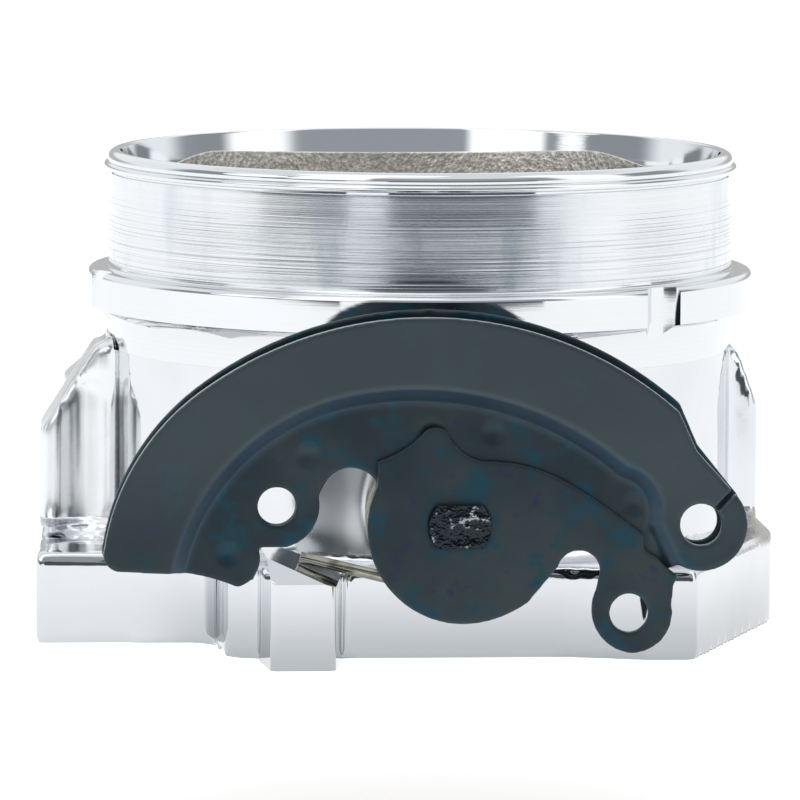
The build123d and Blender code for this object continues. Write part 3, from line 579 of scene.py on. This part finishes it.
def polished_aluminium():
    finish = Finish("polished_aluminium", metallic=1.0)
    x, y, z = finish.x, finish.y, finish.z
    waves = finish.noise(finish.place, 0.055, 1.0, 0.4)
    ripple = finish.noise(finish.place, 0.22, 2.0, 0.4)
    pores = finish.noise(finish.place, 2.2, 3.0, 0.6).between(0.66, 0.72)
    strokes = finish.grooves("z", 4.0, 0.05)
    milled = 1.0 - z.between(0.05, 0.35)
    rough = x.between(51.5, 53.0) * z.between(12.5, 14.0) * (1.0 - z.between(17.0, 18.5)) * (
        1.0 - y.between(6.0, 12.0)) * y.between(-24.0, -15.0)
    hidden = (1.0 - y.between(-48.0, -40.0)) * (1.0 - x.math("ABSOLUTE").between(20.0, 27.0)) * (
        z.between(14.8, 16.5) * (1.0 - z.between(36.0, 42.0)))
    # Painted shade: this mask paints the casting darker towards the bottom.
    low = 1.0 - z.between(-2.0, 15.0)
    # Painted reflection: this mask paints the middle of the flange's front darker.
    middle = low * x.between(-50.0, -32.0) * (1.0 - x.between(50.0, 62.0))
    # Painted reflection: this mask paints the left rib lighter; it also raises the rib's roughness.
    painted_reflection_left_rib = (1.0 - x.between(-54.0, -49.0)) * z.between(15.0, 18.0)
    lean = (1.0 - x.between(RIB_X - 0.01, RIB_X)) * (x - RIB_X) * y.between(-16.0, -14.0) * (
        1.0 - y.between(-4.0, -2.0)) * z.between(15.5, 17.0)
    shape = finish.bump(lean, RIB_LEAN)
    shape = finish.bump(waves, 0.5, shape)
    shape = finish.bump(ripple, 0.025, shape)
    shape = finish.bump(strokes, 0.0012, shape)
    shape = finish.bump(sand_skin(finish) * rough, 0.3, shape)
    cloud = finish.noise(finish.place, 0.09, 2.0)
    tone = finish.mix(cloud, rgb(0.70, 0.72, 0.745), rgb(0.79, 0.805, 0.825))
    # Light and shade painted into the colour: the left rib lighter, the bottom darker and the middle of the
    # flange's front darker.
    tone = finish.mix(painted_reflection_left_rib * 0.7, tone, rgb(0.90, 0.91, 0.92))
    tone = finish.mix(low * 0.6, tone, rgb(0.56, 0.58, 0.60))
    tone = finish.mix(middle * 0.75, tone, rgb(0.34, 0.36, 0.375))
    finish.set(base_color=finish.mix(rough, tone, rgb(0.50, 0.49, 0.46)), normal=shape,
               roughness=0.05 + pores * 0.10 + rough * 0.35 + milled * 0.15 + hidden * 0.26
               + painted_reflection_left_rib * 0.2)
    return finish


POLISHED = polished_aluminium()

# %% [markdown]
# ## Polished casting: shape
# The casting stops at the turned ring, so the ring's room is cut out of it, and so is the room of
# the stop lug, which is a piece of its own.

# %% Buffed casting
CASTING_VOXEL, CASTING_SMOOTHING = 0.8, 5
LUG_SIDES, LUG_FRONT_Y, LUG_ROOT_Y, LUG_OVERLAP, LUG_TOP_Z, BELOW_Z = (-31.0, -15.5), -70, -53.2, 0.4, 22, -3
casting = copy_of("throttle_housing", "housing_casting")
modify(casting, "REMESH", mode="VOXEL", voxel_size=CASTING_VOXEL * MM)
modify(casting, "SMOOTH", factor=0.5, iterations=CASTING_SMOOTHING)
core_r, rib_r, ledge_z, past = RING_FOOT_R - 0.5, BARREL_R + 0.5, RUN_OUT_Z + 2, 3
core = lathe("core", [
    (1.0, BELOW_Z), (core_r, BELOW_Z), (core_r, RUN_OUT_Z), (rib_r, RUN_OUT_Z), (rib_r, ledge_z),
    (SHOULDER_R + past, ledge_z), (SHOULDER_R + past, top + past), (1.0, top + past)], 144)
lug_room = brick((LUG_SIDES[0], LUG_FRONT_Y, BELOW_Z), (LUG_SIDES[1], LUG_ROOT_Y, LUG_TOP_Z))
cut(casting, [core, lug_room])
finish_piece(casting, "housing_casting", POLISHED, "housing", ["throttle_housing"], 60)

# %% [markdown]
# ## Stop lug
# The stop lug keeps its crisp faces, so it is cut from the CAD shape again and only its edges are
# broken. Its root reaches a little into the casting.

# %% Stop lug
lug = copy_of("throttle_housing", "housing_stop_lug")
cut(lug, [brick((LUG_SIDES[0], LUG_FRONT_Y, BELOW_Z), (LUG_SIDES[1], LUG_ROOT_Y + LUG_OVERLAP, LUG_TOP_Z))],
    "INTERSECT")
modify(lug, "BEVEL", width=0.22 * MM, segments=2, limit_method="ANGLE", angle_limit=math.radians(14))
finish_piece(lug, "housing_stop_lug", POLISHED, "housing", angle=30, even=True)

# %% [markdown]
# ## Cam
# The cam is three steel stampings spot-welded together: a rear plate, a front plate whose band
# stands forward to guide the cable, and a thicker hub plate with the lower lug. Stamping pulls the
# edges over and the bends are soft, which a fine remesh and smoothing give. The finish is a thin
# dark conversion coat over steel: charcoal with faint teal and blue blotches and a satin gloss.
# Light is painted into its colour as well: the bends carry a blued tone painted brighter as a
# highlight, the upward-facing edges carry a painted highlight of bright metal broken up like wear,
# and the top of the band is painted lighter as a highlight.

# %% Dark coated steel
def cam_steel(name, bend_highlight_strength, edge_wear_and_highlight):
    finish = Finish(name, metallic=0.92)
    facing = finish.node("ShaderNodeTexCoord").outputs["Normal"]
    _, tilt_y, tilt_z = finish.split(Wire(finish, facing))
    flat = tilt_y.math("ABSOLUTE")
    broad = finish.noise(finish.place, 0.05, 3.0, 0.55)
    blotch = finish.noise(finish.place, 0.16, 4.0, 0.65)
    speck = finish.noise(finish.place, 1.4, 4.0, 0.7)
    pits = finish.cells(finish.place, 1.3).between(0.02, 0.16)
    scuffs = finish.noise(finish.join(finish.x * 0.12, finish.y, finish.z), 1.6, 3.0, 0.7)
    depth = finish.y * -1.0
    # Painted highlight: the sloped bends between band and web get a blued tone painted brighter than the
    # coat.
    bend = depth.between(74.9, 75.2) * (1.0 - depth.between(77.2, 77.5))
    bend = bend * (1.0 - flat.between(0.80, 0.97)) * flat.between(0.45, 0.6)
    # Painted highlight: upward-facing edges of the plates are painted as bright bare metal, broken up by
    # specks like wear.
    edge = (1.0 - flat.between(0.35, 0.80)) * tilt_z.between(-0.3, 0.5) * depth.between(74.5, 76.2)
    charcoal = finish.mix(broad.between(0.35, 0.7), rgb(0.027, 0.042, 0.052), rgb(0.050, 0.066, 0.072))
    teal = finish.mix(blotch.between(0.48, 0.68), charcoal, rgb(0.016, 0.064, 0.092))
    violet = finish.mix(blotch.between(0.28, 0.40), rgb(0.026, 0.040, 0.080), teal)
    wear_and_painted_highlight = finish.mix(speck.between(0.66, 0.80) * 0.5, violet, rgb(0.13, 0.15, 0.16))
    # Painted highlight: the top of the front plate's band is painted lighter, as if lit from above.
    painted_highlight_band_top = depth.between(77.0, 77.6) * finish.z.between(12.0, 38.0)
    wear_and_painted_highlight = finish.mix(painted_highlight_band_top * 0.75, wear_and_painted_highlight, rgb(0.080, 0.102, 0.110))
    blue = finish.mix(bend * bend_highlight_strength, wear_and_painted_highlight, rgb(0.060, 0.105, 0.165))
    rubbed_and_painted_highlight = finish.mix(edge * edge_wear_and_highlight * (0.35 + speck), blue, rgb(0.55, 0.58, 0.60))
    shape = finish.bump(broad, 0.25)
    shape = finish.bump(speck, 0.012, shape)
    shape = finish.bump(pits, 0.006, shape)
    finish.set(base_color=rubbed_and_painted_highlight, normal=shape, coat_weight=0.12, coat_roughness=0.25,
               roughness=0.34 + broad * 0.14 + scuffs.between(0.45, 0.75) * 0.10 + speck * 0.05)
    return finish


FRONT_STEEL, REAR_STEEL, HUB_STEEL = (
    cam_steel("front_plate_steel", 0.45, 0.9), cam_steel("rear_plate_steel", 0.0, 0.05),
    cam_steel("hub_plate_steel", 0.0, 0.35))
CAM_VOXEL, WEB_Y = 0.3, -75.0
WELDS = ((-23.1, 35.1), (-4.3, 38.7), (5.4, 38.4), (27.1, 27.1), (-35.6, 19.7))


def press(piece, x, z, facing, depth=0.35, reach=2.3):
    """Push a round dimple into the front of a plate, as a welding tip leaves it."""
    verts = piece.data.vertices
    target = Vector((x * MM, facing * MM, z * MM))
    near = min(range(len(verts)), key=lambda i: (verts[i].co - target).length)
    for data in (verts, piece.data.edges, piece.data.polygons):
        data.foreach_set("select", [False] * len(data))
    verts[near].select = True
    edit(piece)
    bpy.ops.transform.translate(value=(0, depth * MM, 0), use_proportional_edit=True,
                                proportional_edit_falloff="SMOOTH", proportional_size=reach * MM)
    leave_edit()


def stamped(node, smoothing=7):
    """A CAD plate with the pulled-over edges and soft bends of a stamping."""
    piece = copy_of(node, node + "_stamping")
    modify(piece, "REMESH", mode="VOXEL", voxel_size=CAM_VOXEL * MM)
    modify(piece, "SMOOTH", factor=0.5, iterations=smoothing)
    return piece


# %% [markdown]
# ## Stampings
# Each plate is made from its CAD shape, and the spot welds are pressed into the front plate.

# %% Stampings
front = stamped("cam_front_plate")
for x, z in WELDS:
    press(front, x, z, WEB_Y)
finish_piece(front, "cam_front_stamping", FRONT_STEEL, "throttle", ["cam_front_plate"], 70)
finish_piece(stamped("cam_rear_plate"), "cam_rear_stamping", REAR_STEEL, "throttle",
             ["cam_rear_plate"], 70)
finish_piece(stamped("cam_hub_plate", 5), "cam_hub_stamping", HUB_STEEL, "throttle",
             ["cam_hub_plate"], 70)

# %% [markdown]
# ## Return spring
# One length of oiled spring wire: a leg on the stop lug, four turns round the sleeve and an arm
# hooked into the cam. When the cam turns, the coil winds up a little more along its length; here
# the wire is a merged copy of the CAD spring and is attached to neither the housing nor the throttle.

# %% Spring wire
def spring_wire():
    finish = Finish("spring_wire", metallic=1.0)
    drawn = finish.noise(finish.place, 1.2, 3.0, 0.7)
    oil = finish.noise(finish.place, 0.35, 2.0)
    finish.set(base_color=finish.mix(oil.between(0.35, 0.65), rgb(0.17, 0.17, 0.14), rgb(0.42, 0.41, 0.34)),
               roughness=0.16 + drawn * 0.16, normal=finish.bump(drawn, 0.01))
    return finish


spring = copy_of("return_spring", "return_spring_wire")
finish_piece(spring, "return_spring_wire", spring_wire(), None, ["return_spring"])
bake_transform(spring)

# %% [markdown]
# ## Finishes of the remaining pieces
# These keep their CAD shapes. Each finish is a short recipe: a base tone that wanders, a
# roughness that follows the wear, and a bump at the scale of the tool that made the surface.

# %% Metals, plastics and rubber
def simple(name, low, high, metallic, roughness, grain, depth, mottle=0.2, sway=None, **more):
    """A finish from two tones, a roughness range, the size of its grain per millimetre and its depth."""
    finish = Finish(name, metallic=metallic, **more)
    tone = finish.noise(finish.place, mottle, 3.0, 0.6)
    texture = finish.grooves(sway, grain, 0.02) if sway else finish.noise(finish.place, grain, 3.0, 0.65)
    finish.set(base_color=finish.mix(tone.between(0.3, 0.7), rgb(*low), rgb(*high)),
               roughness=roughness[0] + texture * (roughness[1] - roughness[0]),
               normal=finish.bump(texture, depth))
    return finish


def shaft_steel():
    """Ground steel whose cam end was blackened and peened over."""
    finish = Finish("shaft_steel", metallic=1.0)
    ground = finish.grooves("y", 6.0, 0.02)
    depth = finish.y * -1.0
    peened = depth.between(77.0, 77.25)
    dents = finish.noise(finish.place, 0.42, 3.0, 0.65)
    bare = finish.mix(ground, rgb(0.46, 0.46, 0.46), rgb(0.66, 0.66, 0.65))
    shape = finish.bump(ground, 0.003)
    shape = finish.bump(dents * peened, 0.35, shape)
    # Painted highlight: bright glint spots are painted into the colour of the peened end.
    painted_glints = dents.between(0.56, 0.64) * (1.0 - dents.between(0.66, 0.72)) * peened
    dark = finish.mix(peened, bare, rgb(0.028, 0.036, 0.042))
    finish.set(base_color=finish.mix(painted_glints * 0.8, dark, rgb(0.45, 0.48, 0.50)), normal=shape,
               roughness=0.24 - peened * 0.12)
    return finish


SHAFT = shaft_steel()
BEARING = simple("bearing_steel", (0.50, 0.50, 0.51), (0.64, 0.64, 0.65), 1.0, (0.16, 0.3), 5.0, 0.003,
                 sway="y")
BRASS = simple("blade_brass", (0.60, 0.43, 0.19), (0.78, 0.60, 0.31), 1.0, (0.2, 0.36), 3.5, 0.004, sway="x")
ZINC = simple("bright_zinc", (0.56, 0.57, 0.60), (0.72, 0.73, 0.74), 1.0, (0.2, 0.34), 2.5, 0.006)
BLACK_OXIDE = simple("black_oxide", (0.02, 0.02, 0.021), (0.05, 0.05, 0.052), 0.85, (0.3, 0.46), 3.0, 0.008)
RUBBER = simple("seal_rubber", (0.014, 0.014, 0.014), (0.03, 0.03, 0.03), 0.0, (0.55, 0.75), 4.0, 0.012)
NYLON = simple("sleeve_nylon", (0.60, 0.58, 0.52), (0.72, 0.70, 0.63), 0.0, (0.38, 0.5), 2.0, 0.01)
MOULDED = simple("moulded_plastic", (0.016, 0.016, 0.018), (0.028, 0.028, 0.031), 0.0, (0.36, 0.52), 6.0,
                 0.012)
ROTOR = simple("rotor_plastic", (0.42, 0.40, 0.36), (0.52, 0.50, 0.45), 0.0, (0.4, 0.5), 4.0, 0.008)
PASSIVATED = simple("passivated_can", (0.50, 0.41, 0.20), (0.62, 0.58, 0.38), 1.0, (0.24, 0.38), 1.5, 0.006,
                    mottle=0.12)
TIN = simple("tinned_terminal", (0.66, 0.66, 0.64), (0.80, 0.80, 0.78), 1.0, (0.18, 0.3), 4.0, 0.004)
COATS = {
    SHAFT: ["throttle_shaft"], BRASS: ["throttle_blade"], RUBBER: [
        "shaft_seal_cam_side", "shaft_seal_sensor_side", "position_sensor_seal", "idle_valve_seal"],
    BEARING: ["shaft_bearing_cam_side", "shaft_bearing_sensor_side", "idle_valve_pintle", "bypass_plug"],
    ZINC: ["position_sensor_screws", "idle_valve_screws", "blade_screws"],
    BLACK_OXIDE: ["idle_stop_screw", "idle_stop_lock_nut"], NYLON: ["spring_sleeve"],
    MOULDED: ["position_sensor_housing", "position_sensor_cover"], ROTOR: ["position_sensor_rotor"],
    PASSIVATED: ["idle_valve_body"], TIN: ["position_sensor_terminals", "idle_valve_terminals"]}
for finish, nodes in COATS.items():
    for node in nodes:
        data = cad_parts[node].data
        data.materials.clear()
        data.materials.append(finish.material)
print(sum(len(nodes) for nodes in COATS.values()), "CAD nodes have their finish")
